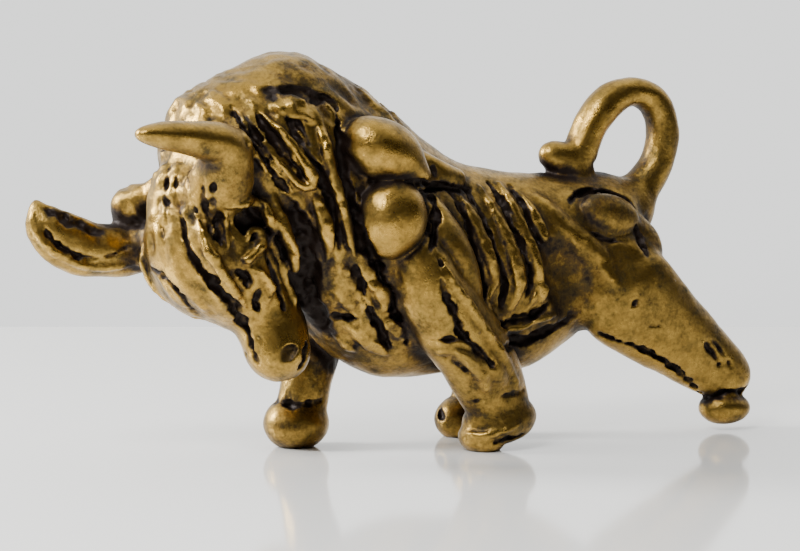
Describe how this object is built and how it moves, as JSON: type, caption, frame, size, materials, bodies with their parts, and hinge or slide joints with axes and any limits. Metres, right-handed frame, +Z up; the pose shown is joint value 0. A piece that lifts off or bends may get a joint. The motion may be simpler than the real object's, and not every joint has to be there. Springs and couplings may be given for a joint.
{
  "type": "bull figurine",
  "caption": "Small solid-cast brass bull, head lowered and turned aside, standing on its hooves with the tail curled into a hanging loop.",
  "frame": {"origin": "under the middle of the bull's box, on the surface it stands on", "axes": "+X from the head to the tail, +Z up, -Y the side that the head turns to"},
  "size_m": [0.0474, 0.014, 0.0246],
  "materials": {
    "patinated_brass": "cast, satin-polished high places, dark patina in the recesses"
  },
  "bodies": {
    "root": {"bull": "patinated_brass"}
  },
  "joints": []
}
